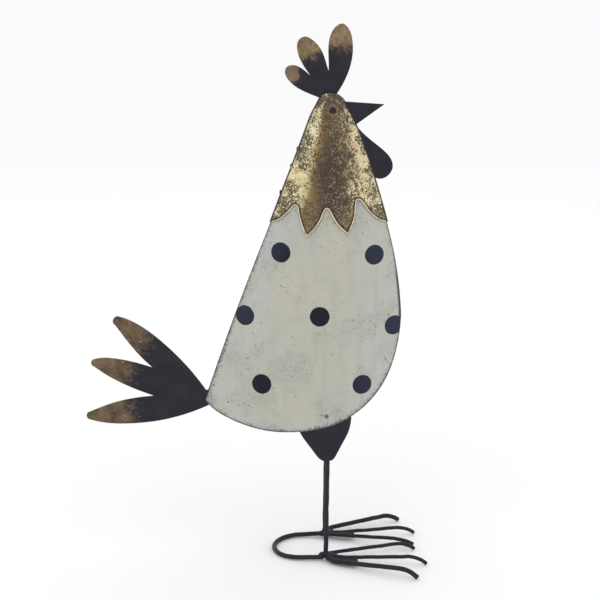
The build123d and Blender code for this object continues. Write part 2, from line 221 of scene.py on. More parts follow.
def sheet_piece(name, side, us, z_low, z_high, rows, lifts, edge_of, dent):
    """A thick bowed sheet between two outlines: outer and inner grids joined round their borders."""
    columns = len(us)
    v = np.linspace(0, 1, rows)[:, None]
    z = z_low[None, :] + (z_high - z_low)[None, :] * v
    u = np.repeat(us[None, :], rows, axis=0)
    points, edges, inners = [], [], []
    for layer, lift in enumerate(lifts):
        x, depth, seam_room = skin(u, z, lift)
        edge = np.minimum(edge_of(x, z), seam_room)
        push = dent * np.clip(edge / DENT_FADE, 0, 1)
        for i in range(rows):
            for j in range(columns):
                where = (x[i, j] * DENT_PITCH_X, side * SIDE_SHIFT, z[i, j] * DENT_PITCH_Z)
                bump = push[i, j] * noise.noise(where)
                points.append(at(x[i, j], side * (depth[i, j] + bump + SEAM_OFF), z[i, j]))
        edges.append(edge.ravel())
        inners.append(np.full(edge.size, float(layer)))
    grid = rows * columns

    def index(layer, i, j):
        return layer * grid + i * columns + j

    faces = []
    for i in range(rows - 1):
        for j in range(columns - 1):
            outer = [index(0, i, j), index(0, i, j + 1), index(0, i + 1, j + 1), index(0, i + 1, j)]
            inner = [index(1, i, j), index(1, i + 1, j), index(1, i + 1, j + 1), index(1, i, j + 1)]
            faces += [outer, inner]
    border = [(0, j) for j in range(columns)] + [(i, columns - 1) for i in range(1, rows)]
    border += [(rows - 1, j) for j in range(columns - 2, -1, -1)] + [(i, 0) for i in range(rows - 2, 0, -1)]
    for (a, b), (c, d) in zip(border, border[1:] + border[:1]):
        faces.append([index(0, c, d), index(0, a, b), index(1, a, b), index(1, c, d)])
    if side > 0:
        faces = [face[::-1] for face in faces]
    mesh = bpy.data.meshes.new(name)
    mesh.from_pydata(points, [], faces)
    for label, values in (("edge_mm", edges), ("inner", inners), ("across", [u.ravel(), u.ravel()])):
        layer = mesh.attributes.new(label, "FLOAT", "POINT")
        layer.data.foreach_set("value", np.concatenate(values).astype(np.float32))
    mesh.update()
    mesh.shade_smooth()
    mesh.set_sharp_from_angle(angle=math.radians(40))
    return new_object(name, mesh)


def rounded_path(corners, radii, step=1.0):
    """Points along straight runs joined by arcs, one radius for each inner corner."""
    pts = [np.array(p, float) for p in corners]
    path = [pts[0]]
    for before, corner, after, radius in zip(pts, pts[1:], pts[2:], radii):
        inward = (before - corner) / np.linalg.norm(before - corner)
        outward = (after - corner) / np.linalg.norm(after - corner)
        turn = math.pi - math.acos(np.clip(inward @ outward, -1, 1))
        if turn < 1e-3:
            continue
        reach = radius * math.tan(turn / 2)
        centre = corner + (inward + outward) / np.linalg.norm(inward + outward) * math.hypot(radius, reach)
        start = corner + inward * reach - centre
        end = corner + outward * reach - centre
        count = max(3, int(radius * turn / step))
        for k in range(count + 1):
            share = k / count
            spoke = (math.sin((1 - share) * turn) * start + math.sin(share * turn) * end) / math.sin(turn)
            path.append(centre + spoke)
    path.append(pts[-1])
    out = []
    for a, b in zip(path, path[1:]):
        count = max(1, int(np.linalg.norm(b - a) / (2 * step)))
        out += [a + (b - a) * k / count for k in range(count)]
    out.append(path[-1])
    return np.array(out)


def wire_piece(name, paths, diameter, wobble, dents, seed):
    """Round wire along paths as a tube with flat cut ends, slightly uneven as hand-bent wire is."""
    around = 20
    verts, faces = [], []
    for path in paths:
        base = len(verts)
        count = len(path)
        tangents = np.gradient(path, axis=0)
        tangents /= np.linalg.norm(tangents, axis=1)[:, None]
        normal = np.cross(tangents[0], (0.3, 1.0, 0.2))
        for i, (point, tangent) in enumerate(zip(path, tangents)):
            normal = normal - tangent * (normal @ tangent)
            normal /= np.linalg.norm(normal)
            side = np.cross(tangent, normal)
            key = Vector(point * WOBBLE_PITCH) + Vector((seed, 0, 0))
            fade = min(1.0, i / END_RINGS, (count - 1 - i) / END_RINGS)
            sway_x, sway_y = noise.noise(key + Vector((0, 9, 0))), noise.noise(key)
            sway_z = noise.noise(key + Vector((5, 0, 0))) * 0.5
            drift = fade * wobble * np.array([sway_x, sway_y, sway_z])
            for k in range(around):
                spin = 2 * math.pi * k / around
                spoke = math.cos(spin) * normal + math.sin(spin) * side
                where = Vector(point * DENT_PITCH) + Vector(spoke) * DENT_SPREAD + Vector((seed, seed, 0))
                dent = 1 + dents * noise.noise(where)
                verts.append(at(*(point + drift + spoke * diameter / 2 * dent)))
        for i in range(count - 1):
            for k in range(around):
                a = base + i * around + k
                b = base + i * around + (k + 1) % around
                faces.append([a, b, b + around, a + around])
        faces.append([base + k for k in range(around)][::-1])
        faces.append([base + (count - 1) * around + k for k in range(around)])
    mesh = bpy.data.meshes.new(name)
    mesh.from_pydata(verts, [], faces)
    mesh.update()
    tidy = bmesh.new()
    tidy.from_mesh(mesh)
    bmesh.ops.recalc_face_normals(tidy, faces=tidy.faces)
    tidy.to_mesh(mesh)
    tidy.free()
    mesh.shade_smooth()
    mesh.set_sharp_from_angle(angle=math.radians(50))
    obj = new_object(name, mesh)
    bevel = obj.modifiers.new("cut_ends", "BEVEL")
    bevel.width = 0.25 * MM
    bevel.segments = 2
    bevel.limit_method = "ANGLE"
    bevel.angle_limit = math.radians(60)
    return obj


def weld_piece(name, blobs):
    """Lumps of weld metal: each blob is a centre, three radii and a seed."""
    body = bmesh.new()
    for (cx, cy, cz), radii, seed in blobs:
        made = bmesh.ops.create_icosphere(body, subdivisions=4, radius=1.0)["verts"]
        for vert in made:
            way = vert.co.copy()
            lumps = 0.22 * noise.noise(way * 1.4 + Vector((seed * 3.1, 0, 0)))
            grit = 0.08 * noise.noise(way * 4.0 + Vector((0, seed * 2.3, 0)))
            reach = way * (1 + lumps + grit)
            vert.co = Vector(at(cx + reach.x * radii[0], cy + reach.y * radii[1], cz + reach.z * radii[2]))
    mesh = bpy.data.meshes.new(name)
    body.to_mesh(mesh)
    body.free()
    mesh.shade_smooth()
    return new_object(name, mesh)


def bevelled_plate(name, node, width):
    """A CAD plate rebuilt with softened cut edges."""
    body = bmesh.new()
    body.from_mesh(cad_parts[node].data)
    bmesh.ops.remove_doubles(body, verts=body.verts, dist=1e-6)
    bmesh.ops.dissolve_limit(body, angle_limit=math.radians(1), verts=body.verts, edges=body.edges)
    mesh = bpy.data.meshes.new(name)
    body.to_mesh(mesh)
    body.free()
    for label in [a.name for a in mesh.attributes if a.name == "custom_normal"]:
        mesh.attributes.remove(mesh.attributes[label])
    mesh.shade_smooth()
    mesh.set_sharp_from_angle(angle=math.radians(35))
    obj = new_object(name, mesh)
    bevel = obj.modifiers.new("soft_edges", "BEVEL")
    bevel.width = width * MM
    bevel.segments = 3
    bevel.limit_method = "ANGLE"
    bevel.angle_limit = math.radians(40)
    bevel.harden_normals = True
    return obj


# ------------------------------------------------------------------ material helpers
class Paint:
    """A short way to write node materials."""

    def __init__(self, name):
        self.material = bpy.data.materials.new(name)
        self.material.use_nodes = True
        self.tree = self.material.node_tree
        self.shader = self.tree.nodes["Principled BSDF"]
        self.place = self.tree.nodes.new("ShaderNodeTexCoord").outputs["Object"]

    def link(self, value, socket):
        if isinstance(value, bpy.types.NodeSocket):
            self.tree.links.new(value, socket)
        elif isinstance(value, (tuple, list)) and len(value) == 3 and socket.type == "RGBA":
            socket.default_value = (*value, 1)
        else:
            socket.default_value = value

    def math(self, operation, *values, clamp=False):
        node = self.tree.nodes.new("ShaderNodeMath")
        node.operation = operation
        node.use_clamp = clamp
        for value, socket in zip(values, node.inputs):
            self.link(value, socket)
        return node.outputs[0]

    def times(self, first, second, clamp=False):
        return self.math("MULTIPLY", first, second, clamp=clamp)

    def plus(self, first, second, clamp=False):
        return self.math("ADD", first, second, clamp=clamp)

    def minus(self, first, second):
        return self.math("SUBTRACT", first, second)

    def most(self, first, second):
        return self.math("MAXIMUM", first, second)

    def least(self, first, second):
        return self.math("MINIMUM", first, second)

    def sway(self, noise_value, amount):
        """A noise turned into a swing about zero, amount wide."""
        return self.times(self.minus(noise_value, 0.5), amount)

    def vector(self, operation, *values):
        node = self.tree.nodes.new("ShaderNodeVectorMath")
        node.operation = operation
        for value, socket in zip(values, node.inputs):
            self.link(value, socket)
        is_number = operation in ("DISTANCE", "LENGTH", "DOT_PRODUCT")
        return node.outputs["Value" if is_number else "Vector"]

    def stretch(self, scale, rotation=(0, 0, 0)):
        node = self.tree.nodes.new("ShaderNodeMapping")
        self.link(self.place, node.inputs["Vector"])
        node.inputs["Scale"].default_value = scale
        node.inputs["Rotation"].default_value = rotation
        return node.outputs[0]

    def turned(self, *rotation):
        """Where a noise is read when it should not line up with the others of its scale."""
        return self.stretch((1, 1, 1), rotation)

    def noise(self, scale, detail=4.0, roughness=0.5, place=None):
        node = self.tree.nodes.new("ShaderNodeTexNoise")
        self.link(place or self.place, node.inputs["Vector"])
        node.inputs["Scale"].default_value = scale
        node.inputs["Detail"].default_value = detail
        node.inputs["Roughness"].default_value = roughness
        return node.outputs["Fac"]

    def fade(self, value, start, end):
        """0 at start, 1 at end, smooth between; start may be the larger."""
        node = self.tree.nodes.new("ShaderNodeMapRange")
        node.interpolation_type = "SMOOTHSTEP"
        self.link(value, node.inputs["Value"])
        self.link(start, node.inputs["From Min"])
        self.link(end, node.inputs["From Max"])
        return node.outputs[0]

    def mix(self, share, first, second):
        node = self.tree.nodes.new("ShaderNodeMix")
        node.data_type = "RGBA"
        self.link(share, node.inputs["Factor"])
        self.link(first, node.inputs["A"])
        self.link(second, node.inputs["B"])
        return node.outputs["Result"]

    def wash(self, base, colour, mask, strength):
        """A colour laid over the base where the mask is, at some strength."""
        return self.mix(self.times(mask, strength), base, colour)

    def attribute(self, name):
        node = self.tree.nodes.new("ShaderNodeAttribute")
        node.attribute_name = name
        return node.outputs["Fac"]

    def split(self, vector):
        node = self.tree.nodes.new("ShaderNodeSeparateXYZ")
        self.link(vector, node.inputs[0])
        return node.outputs

    def join(self, **parts):
        node = self.tree.nodes.new("ShaderNodeCombineXYZ")
        for letter, value in parts.items():
            self.link(value, node.inputs[letter])
        return node.outputs[0]

    def height(self):
        return self.split(self.place)["Z"]

    def bump(self, height, strength, distance):
        node = self.tree.nodes.new("ShaderNodeBump")
        node.inputs["Strength"].default_value = strength
        node.inputs["Distance"].default_value = distance * MM
        self.link(height, node.inputs["Height"])
        self.link(node.outputs[0], self.shader.inputs["Normal"])

    def set(self, name, value):
        self.link(value, self.shader.inputs[name])


def srgb(red, green, blue):
    """Display colour to the linear colour that shaders use."""
    shares = (red / 255, green / 255, blue / 255)
    return tuple(v / 12.92 if v <= 0.04045 else ((v + 0.055) / 1.055) ** 2.4 for v in shares)


# The second white is a painted cool reflection for the sides of the bow.
WHITE_CREAM, WHITE_SIDE_REFLECTION, WHITE_WARM = srgb(177, 177, 166), srgb(179, 182, 179), srgb(184, 181, 165)
STREAK_GREY, BLOTCH_GREY, BRUISE_GREY = srgb(164, 166, 156), srgb(160, 163, 158), srgb(156, 158, 164)
LILAC, PATCH_GREY, SPECK_GREY = srgb(150, 150, 166), srgb(120, 122, 116), srgb(106, 106, 100)
DASH_GREY, RARE_SPECK = srgb(136, 136, 130), srgb(84, 82, 80)
MARK_DARK, EDGE_GREY = srgb(58, 62, 68), srgb(112, 114, 108)
BARE_DARK, BARE_PALE, SHELL_INSIDE = srgb(44, 43, 42), srgb(96, 95, 88), srgb(60, 57, 57)
# The third dot colour is a painted bluish reflection for dots towards the sides of the bow.
DOT_DARK, DOT_WORN, DOT_SIDE_REFLECTION = srgb(10, 14, 28), srgb(24, 28, 44), srgb(40, 44, 62)
BLACK_DEEP, BLACK_SOFT, BLACK_DUST = srgb(26, 24, 35), srgb(37, 33, 44), srgb(62, 58, 62)
# The olive, brown and dark golds colour the painted dark reflection down the middle of the bow; the olive
# also colours the mosaic patches.
GOLD_PALE, GOLD_SOFT, GOLD_OLIVE = srgb(228, 215, 172), srgb(204, 189, 142), srgb(148, 124, 70)
GOLD_REFLECTION_BROWN, GOLD_REFLECTION_DARK, GOLD_BLACK = srgb(112, 94, 62), srgb(82, 66, 48), srgb(46, 38, 38)
# The last of these darkens the cape along its lower edge.
GOLD_FLECK, GOLD_HALO, GOLD_EDGE_DARK = srgb(196, 182, 150), srgb(140, 122, 84), srgb(50, 36, 34)
TONGUE_DARK, TONGUE_PALE, CAPE_INSIDE = srgb(108, 94, 66), srgb(146, 128, 92), srgb(60, 50, 40)
TRIM_PALE, TRIM_SOFT = srgb(222, 210, 176), srgb(182, 166, 128)
# The second of these is painted shade for the bead's flanks.
TRIM_PIT, TRIM_FLANK_SHADE = srgb(104, 84, 66), srgb(72, 58, 50)
TIP_ROSY, TIP_GREEN, TIP_UNDER = srgb(118, 92, 84), srgb(106, 98, 58), srgb(74, 60, 52)
TAIL_GOLDS = srgb(122, 102, 72), srgb(74, 60, 50), srgb(140, 122, 92)
COMB_GOLDS = srgb(150, 128, 94), srgb(104, 86, 66), srgb(170, 148, 114)
FLOOR_WHITES = (0.975, 0.975, 0.975), (0.985, 0.985, 0.985)

# Heights in metres between which a paint effect comes and goes.
CROWN_LOW, CROWN_HIGH = 0.378, 0.394
UPPER_NECK_LOW, UPPER_NECK_HIGH = 0.335, 0.368
MOSAIC_WIDENS_LOW, MOSAIC_WIDENS_HIGH = 0.308, 0.335
TONGUES_HIGH, TONGUES_LOW = 0.312, 0.290
BREAST_LINE_LOW, BREAST_LINE_HIGH = (0.197, 0.207), (0.262, 0.240)
TACKS_GOLD_ABOVE, TACKS_BLACK_BELOW = 0.328, 0.322


def folded(paint):
    """The shading point with its distance from the middle plane in place of y, so both sides match."""
    place = paint.split(paint.place)
    return paint.join(X=place["X"], Y=paint.math("ABSOLUTE", place["Y"]), Z=place["Z"])


def skin_point(x, z):
    """A point of the shell's outside from its side view, on the folded side."""
    return Vector(at(x, float(skin(u_of(x, z, 0.0), z, 0.0)[1]), z))


def spot_mask(paint, place, centres, radius, ragged, soft=0.22, depth=1.0):
    """1 inside spots with slightly uneven borders; a depth below 1 draws them longer round the bow."""
    place = paint.vector("MULTIPLY", place, (1, depth, 1))
    unevenness = paint.sway(paint.noise(420, 3), ragged * MM)
    nearest = None
    for x, z in centres:
        centre = skin_point(x, z)
        distance = paint.vector("DISTANCE", place, (centre.x, centre.y * depth, centre.z))
        nearest = distance if nearest is None else paint.least(nearest, distance)
    return paint.fade(paint.plus(nearest, unevenness), (radius + soft) * MM, (radius - soft) * MM)


def stroke_mask(paint, place, first, last, width):
    """1 along a thin scratch between two skin points."""
    start, run = skin_point(*first), skin_point(*last) - skin_point(*first)
    offset = paint.vector("SUBTRACT", place, tuple(start))
    progress = paint.vector("DOT_PRODUCT", offset, tuple(run))
    share = paint.math("DIVIDE", progress, run.length_squared, clamp=True)
    along = paint.tree.nodes.new("ShaderNodeVectorMath")
    along.operation = "SCALE"
    along.inputs[0].default_value = tuple(run)
    paint.link(share, along.inputs["Scale"])
    distance = paint.vector("DISTANCE", offset, along.outputs[0])
    rough = paint.times(paint.noise(900, 3), width * 0.9 * MM)
    return paint.fade(paint.plus(distance, rough), width * 1.1 * MM, width * 0.5 * MM)


# Each scratch: two side-view points and a width.
SCRATCHES = [
    ((49.2, 177.6), (50.4, 175.4), 0.9),
    ((50.4, 175.4), (56.6, 167.6), 0.5),
    ((51.8, 165.2), (54.6, 163.4), 0.6),
    ((-38.6, 240.6), (-34.6, 239.2), 0.55),
    ((-5.6, 132.6), (0.3, 131.1), 0.7),
]
DIMPLE, TAIL_CORNER = (0.3, 131.1), (-98.5, 138.0)
SHELL_ARC = 130.0    # a shell's usual width round its bow, in millimetres


def cream_coat(paint, place, edge, sides):
    """The off-white coat with its broad tones and streaks and a painted cool reflection towards the sides and
    edges, before specks and wear.
    """
    # Painted cool reflection: the coat turns bluish-white towards the sides of the bow and near the rim and
    # crown.
    side_reflection = paint.most(sides, paint.fade(edge, 14.0, 2.0))
    side_reflection = paint.times(side_reflection, paint.fade(paint.noise(16, 4, 0.55), 0.25, 0.6))
    coat = paint.mix(side_reflection, WHITE_CREAM, WHITE_SIDE_REFLECTION)
    coat = paint.wash(coat, WHITE_WARM, paint.fade(paint.noise(24, 5, 0.6), 0.42, 0.68), 0.55)
    streaks = paint.noise(130, 5, 0.62, paint.stretch((1, 1, 0.14)))
    coat = paint.wash(coat, STREAK_GREY, paint.fade(streaks, 0.47, 0.68), 0.38)
    coat = paint.wash(coat, BLOTCH_GREY, paint.fade(paint.noise(55, 6, 0.62), 0.52, 0.7), 0.4)
    bruise = paint.noise(34, 5, 0.6, paint.stretch((1, 1, 0.8), (0.5, 0.2, 0.3)))
    bruise = paint.plus(paint.times(paint.fade(edge, 22.0, 2.0), 0.1), bruise)
    coat = paint.wash(coat, BRUISE_GREY, paint.fade(bruise, 0.6, 0.74), 0.32)
    lilac = spot_mask(paint, place, [TAIL_CORNER], 5.5, 4.0, 4.0)
    return paint.wash(coat, LILAC, lilac, 0.6), streaks


def rim_wear(paint, edge, across, height, coat):
    """Grey near the rim and the seams, chips and bare lines along them; gives the coat and where it is worn.
    """
    rim_noise = paint.noise(430, 6, 0.72)
    seam_mm = paint.times(paint.least(across, paint.minus(1.0, across)), SHELL_ARC)
    border = paint.least(edge, seam_mm)
    clustered = paint.fade(paint.noise(28, 4, 0.55, paint.turned(0.2, 0.9, 0)), 0.40, 0.58)
    clustered = paint.plus(0.35, paint.times(clustered, 0.65))
    # Greyer within about 4 mm of the rim and the seams, in patches.
    reach = paint.plus(border, paint.sway(paint.noise(90, 5, 0.65), 4.0))
    edge_grey = paint.times(paint.fade(reach, 4.2, 0.2), clustered)
    coat = paint.wash(coat, EDGE_GREY, edge_grey, 0.5)
    chips = paint.fade(paint.minus(rim_noise, paint.times(border, 0.030)), 0.435, 0.52)
    line = paint.plus(0.35, paint.fade(rim_noise, 0.38, 0.52))
    line = paint.times(paint.fade(border, 1.55, 0.45), line, clamp=True)
    breast = paint.times(paint.fade(height, *BREAST_LINE_LOW), paint.fade(height, *BREAST_LINE_HIGH))
    breast = paint.times(paint.fade(across, 0.978, 0.988), breast)
    worn = paint.most(paint.most(line, breast), paint.times(paint.times(chips, clustered), 0.8))
    bare = paint.mix(paint.noise(700, 3), BARE_DARK, BARE_PALE)
    return paint.mix(worn, coat, bare), worn


def body_paint():
    """Off-white with dark dots: streaked, speckled, scratched and worn at the rim."""
    paint = Paint("body_paint")
    place = folded(paint)
    edge, across = paint.attribute("edge_mm"), paint.attribute("across")
    # The sides of the bow, where the coat and the dots get a painted cool reflection.
    sides = paint.most(paint.fade(across, 0.30, 0.04), paint.fade(across, 0.62, 0.86))
    base, streaks = cream_coat(paint, place, edge, sides)

    patches = paint.fade(paint.noise(34, 4, 0.55), 0.50, 0.60)
    base = paint.wash(base, PATCH_GREY, patches, 0.12)
    specks = paint.times(paint.fade(paint.noise(560, 4, 0.62), 0.575, 0.645), patches)
    base = paint.wash(base, SPECK_GREY, specks, 0.6)
    dashes = paint.fade(paint.noise(420, 3, 0.55, paint.stretch((0.45, 1, 1.3), (0, 0.15, 0))), 0.61, 0.68)
    dashes = paint.times(dashes, paint.fade(paint.noise(26, 3, 0.5, paint.turned(0.7, 0, 0)), 0.48, 0.6))
    base = paint.wash(base, DASH_GREY, dashes, 0.55)
    base = paint.wash(base, RARE_SPECK, paint.fade(paint.noise(230, 2, 0.4), 0.735, 0.76), 0.75)
    marks = spot_mask(paint, place, [DIMPLE], 1.7, 1.8, 0.5)
    for first, last, width in SCRATCHES:
        marks = paint.most(marks, stroke_mask(paint, place, first, last, width))
    base = paint.wash(base, MARK_DARK, marks, 0.85)
    base, worn = rim_wear(paint, edge, across, paint.height(), base)

    spots = spot_mask(paint, place, DOTS, DOT_R, 0.7, depth=0.5)
    spot_tone = paint.mix(paint.fade(paint.noise(300, 5, 0.7), 0.45, 0.75), DOT_DARK, DOT_WORN)
    # Painted reflection: the dots turn bluish towards the sides of the bow.
    spot_tone = paint.wash(spot_tone, DOT_SIDE_REFLECTION, sides, 0.8)
    base = paint.mix(spots, base, spot_tone)
    base = paint.mix(paint.attribute("inner"), base, SHELL_INSIDE)
    paint.set("Base Color", base)
    paint.set("Specular IOR Level", 0.22)
    paint.set("Roughness", paint.plus(0.5, paint.times(paint.noise(90, 4), 0.16)))
    grain = paint.plus(paint.times(streaks, 0.5), paint.noise(700, 4, 0.6))
    chipped = paint.most(worn, paint.most(marks, specks))
    paint.bump(paint.minus(grain, paint.times(chipped, 0.8)), 0.35, 0.12)
    return paint.material


def gold_leaf():
    """Pale leaf with a painted dark reflection in olive-brown down the middle of the bow, dark crackle,
    flecks, a paler strip high on the back that is a painted highlight, and darker along its edge.
    """
    paint = Paint("gold_leaf")
    place = folded(paint)
    edge, across = paint.attribute("edge_mm"), paint.attribute("across")
    height = paint.height()
    warp = paint.plus(paint.sway(paint.noise(42, 5, 0.62), 0.2), paint.sway(paint.noise(130, 5, 0.65), 0.16))
    over = paint.plus(across, warp)
    crown = paint.fade(height, CROWN_LOW, CROWN_HIGH)
    # Painted dark reflection: the middle of the bow is laid over in olive to dark brown, less so at the
    # crown.
    reflection_band = paint.times(paint.fade(over, 0.20, 0.46), paint.fade(over, 0.74, 0.54))
    reflection_band = paint.times(reflection_band, paint.minus(1.0, paint.times(crown, 0.75)))
    reach = paint.minus(over, paint.times(paint.fade(height, MOSAIC_WIDENS_LOW, MOSAIC_WIDENS_HIGH), 0.14))
    mosaic = paint.times(paint.fade(over, 0.34, 0.52), paint.fade(reach, 0.78, 0.61))
    tongues = paint.times(paint.fade(across, 0.2, 0.3), paint.fade(across, 0.78, 0.7))
    tongues = paint.times(paint.fade(height, TONGUES_HIGH, TONGUES_LOW), tongues)

    pale = paint.mix(paint.fade(paint.noise(110, 6, 0.68), 0.4, 0.62), GOLD_PALE, GOLD_SOFT)
    patches = paint.mix(paint.fade(paint.noise(240, 6, 0.7), 0.42, 0.6), GOLD_FLECK, GOLD_OLIVE)
    leaf = paint.wash(pale, patches, mosaic, 0.9)
    # The ramp holds the colours of the painted dark reflection.
    ramp = paint.tree.nodes.new("ShaderNodeValToRGB")
    stops = ramp.color_ramp.elements
    stops[0].position, stops[0].color = 0.0, (*GOLD_OLIVE, 1)
    stops[1].position, stops[1].color = 1.0, (*GOLD_REFLECTION_DARK, 1)
    stops.new(0.66).color = (*GOLD_REFLECTION_BROWN, 1)
    upper = paint.fade(height, UPPER_NECK_LOW, UPPER_NECK_HIGH)
    depth = paint.times(reflection_band, paint.minus(1.0, paint.times(upper, 0.4)))
    depth = paint.plus(depth, paint.sway(paint.noise(150, 5, 0.65), 0.7), clamp=True)
    paint.link(depth, ramp.inputs[0])
    leaf = paint.mix(paint.fade(reflection_band, 0.0, 0.35), leaf, ramp.outputs[0])
    leaf = paint.wash(leaf, paint.mix(paint.noise(170, 5, 0.7), TONGUE_DARK, TONGUE_PALE), tongues, 0.85)

    # Dark crackle shows where a fine noise passes the threshold, which each kind of place lowers or raises.
    cluster = paint.fade(paint.noise(62, 3, 0.55), 0.42, 0.6)
    borders = paint.most(paint.fade(across, 0.30, 0.05), paint.fade(across, 0.82, 0.97))
    # Painted highlight: the threshold rises high on the back edge, so fewer dark specks leave a paler strip
    # there.
    back_highlight = paint.times(upper, paint.fade(across, 0.4, 0.25))
    threshold = 0.61
    for mask, drop in (
        (cluster, 0.11), (mosaic, 0.125), (borders, 0.062), (back_highlight, -0.02), (reflection_band, 0.04), (crown, 0.165)
    ):
        threshold = paint.minus(threshold, paint.times(mask, drop))
    specks = paint.fade(paint.minus(paint.noise(640, 7, 0.74), threshold), -0.015, 0.03)
    cover = paint.minus(0.9, paint.times(paint.most(reflection_band, tongues), 0.3))
    leaf = paint.mix(paint.times(specks, cover), leaf, GOLD_BLACK)
    flecks = paint.fade(paint.noise(560, 6, 0.74, paint.turned(0.4, 0.2, 0.9)), 0.53, 0.63)
    flecks = paint.times(flecks, paint.plus(0.22, paint.times(mosaic, 0.38)))
    leaf = paint.mix(paint.times(flecks, paint.most(mosaic, paint.times(reflection_band, 0.4))), leaf, GOLD_FLECK)

    eye_low, eye_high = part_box("right_eye")
    eye = ((eye_low[0] + eye_high[0]) / 2, -(eye_low[1] + eye_high[1]) / 2, (eye_low[2] + eye_high[2]) / 2)
    uneven = paint.times(paint.noise(160, 5, 0.65), 5 * MM)
    from_eye = paint.plus(paint.vector("DISTANCE", place, eye), uneven)
    leaf = paint.wash(leaf, GOLD_HALO, paint.fade(from_eye, 9 * MM, 4.5 * MM), 0.5)
    # Darker within about 2 to 3 mm of the cape's lower edge, beside the trim bead.
    edge_dark = paint.fade(paint.plus(edge, paint.times(paint.noise(260, 3), 1.2)), 3.0, 1.7)
    leaf = paint.wash(leaf, GOLD_EDGE_DARK, edge_dark, 0.92)
    seam = paint.least(across, paint.minus(1.0, across))
    leaf = paint.mix(paint.times(paint.fade(seam, 0.012, 0.002), cluster), leaf, GOLD_BLACK)
    leaf = paint.mix(paint.attribute("inner"), leaf, CAPE_INSIDE)
    paint.set("Base Color", leaf)
    paint.set("Metallic", 0.35)
    paint.set("Roughness", paint.plus(0.4, paint.times(specks, 0.25)))
    relief = paint.minus(paint.times(paint.noise(180, 5, 0.6), 0.8), paint.times(specks, 0.5))
    paint.bump(relief, 0.4, 0.15)
    return paint.material


def tack_paint():
    """The upper lumps took leaf with the neck; the lowest stayed black."""
    paint = Paint("tack_paint")
    tone = paint.mix(paint.fade(paint.noise(520, 6, 0.7), 0.42, 0.52), GOLD_SOFT, GOLD_BLACK)
    tone = paint.mix(paint.fade(paint.height(), TACKS_GOLD_ABOVE, TACKS_BLACK_BELOW), tone, BLACK_DEEP)
    paint.set("Base Color", tone)
    paint.set("Roughness", 0.5)
    paint.bump(paint.noise(450, 5, 0.6), 0.3, 0.1)
    return paint.material


def trim_metal():
    """Pale brass on the bead's outer face, pitted, with painted shade on its flanks."""
    paint = Paint("trim_brass")
    tone = paint.mix(paint.fade(paint.noise(120, 5, 0.7), 0.42, 0.66), TRIM_PALE, TRIM_SOFT)
    tone = paint.wash(tone, TRIM_PIT, paint.fade(paint.noise(420, 5, 0.75), 0.58, 0.68), 0.8)
    # Painted shade: the bead's flanks, where the normal turns away from y, are laid over in dark brown.
    facing = paint.split(paint.tree.nodes.new("ShaderNodeNewGeometry").outputs["Normal"])
    tone = paint.wash(tone, TRIM_FLANK_SHADE, paint.fade(paint.math("ABSOLUTE", facing["Y"]), 0.84, 0.62), 0.85)
    paint.set("Base Color", tone)
    paint.set("Metallic", 0.3)
    paint.set("Roughness", 0.42)
    paint.bump(paint.noise(600, 4), 0.4, 0.1)
    return paint.material


def brushed_gold(paint, tone, tips, root, golds):
    """Gold dry-brushed over the tips, (x, z, reach) each, with streaks that run from the root."""
    from_root = paint.vector("SUBTRACT", paint.place, at(root[0], 0, root[1]))
    ray = paint.split(from_root)
    turn = paint.times(paint.math("ARCTAN2", ray["Z"], ray["X"]), 3.0)
    polar = paint.join(X=turn, Y=paint.times(paint.vector("LENGTH", from_root), 12.0))
    streak = paint.noise(16, 5, 0.68, polar)
    speckle = paint.noise(130, 6, 0.7)
    gold = None
    for x, z, length in tips:
        ragged = paint.vector("DISTANCE", paint.place, at(x, 0, z))
        ragged = paint.minus(ragged, paint.sway(streak, length * 1.1 * MM))
        ragged = paint.minus(ragged, paint.sway(speckle, length * MM))
        tip = paint.fade(ragged, length * 1.15 * MM, length * 0.7 * MM)
        gold = tip if gold is None else paint.most(gold, tip)
    grain = paint.plus(paint.noise(170, 7, 0.68), paint.times(gold, 0.14))
    cover = paint.times(gold, paint.fade(grain, 0.42, 0.66))
    lustre = paint.mix(paint.fade(paint.noise(85, 5, 0.62), 0.36, 0.64), golds[0], golds[1])
    lustre = paint.mix(paint.fade(paint.noise(210, 6, 0.72), 0.52, 0.68), lustre, golds[2])
    rosy = paint.fade(paint.noise(48, 4, 0.6, paint.turned(0.3, 0.1, 0.6)), 0.48, 0.62)
    lustre = paint.wash(lustre, TIP_ROSY, rosy, 0.5)
    green = paint.fade(paint.noise(60, 4, 0.6, paint.turned(0.8, 0.5, 0.2)), 0.52, 0.64)
    lustre = paint.wash(lustre, TIP_GREEN, green, 0.5)
    tone = paint.wash(tone, TIP_UNDER, gold, 0.75)
    tone = paint.mix(cover, tone, lustre)
    fringe = paint.times(paint.times(gold, paint.minus(1.0, gold)), 3.2)
    wisps = paint.times(paint.fade(paint.noise(40, 5, 0.7, polar), 0.54, 0.64), fringe)
    paint.set("Metallic", paint.times(cover, 0.3))
    return paint.mix(paint.times(wisps, 0.8, clamp=True), tone, golds[2])


def black_paint(name, tips=(), root=None, golds=None, shine=0.25):
    """Satin black with faint dust, and brushed gold where tips are given."""
    paint = Paint(name)
    tone = paint.mix(paint.fade(paint.noise(60, 5, 0.6), 0.35, 0.7), BLACK_DEEP, BLACK_SOFT)
    tone = paint.wash(tone, BLACK_DUST, paint.fade(paint.noise(700, 4, 0.7), 0.66, 0.74), 0.4)
    if tips:
        tone = brushed_gold(paint, tone, tips, root, golds)
    paint.set("Base Color", tone)
    paint.set("Specular IOR Level", shine)
    paint.set("Roughness", 0.48)
    paint.bump(paint.noise(450, 5, 0.6), 0.25, 0.08)
    return paint.material


def floor_paint():
    paint = Paint("studio_floor")
    paint.set("Base Color", paint.mix(paint.noise(6, 2), *FLOOR_WHITES))
    paint.set("Roughness", 0.9)
    return paint.material


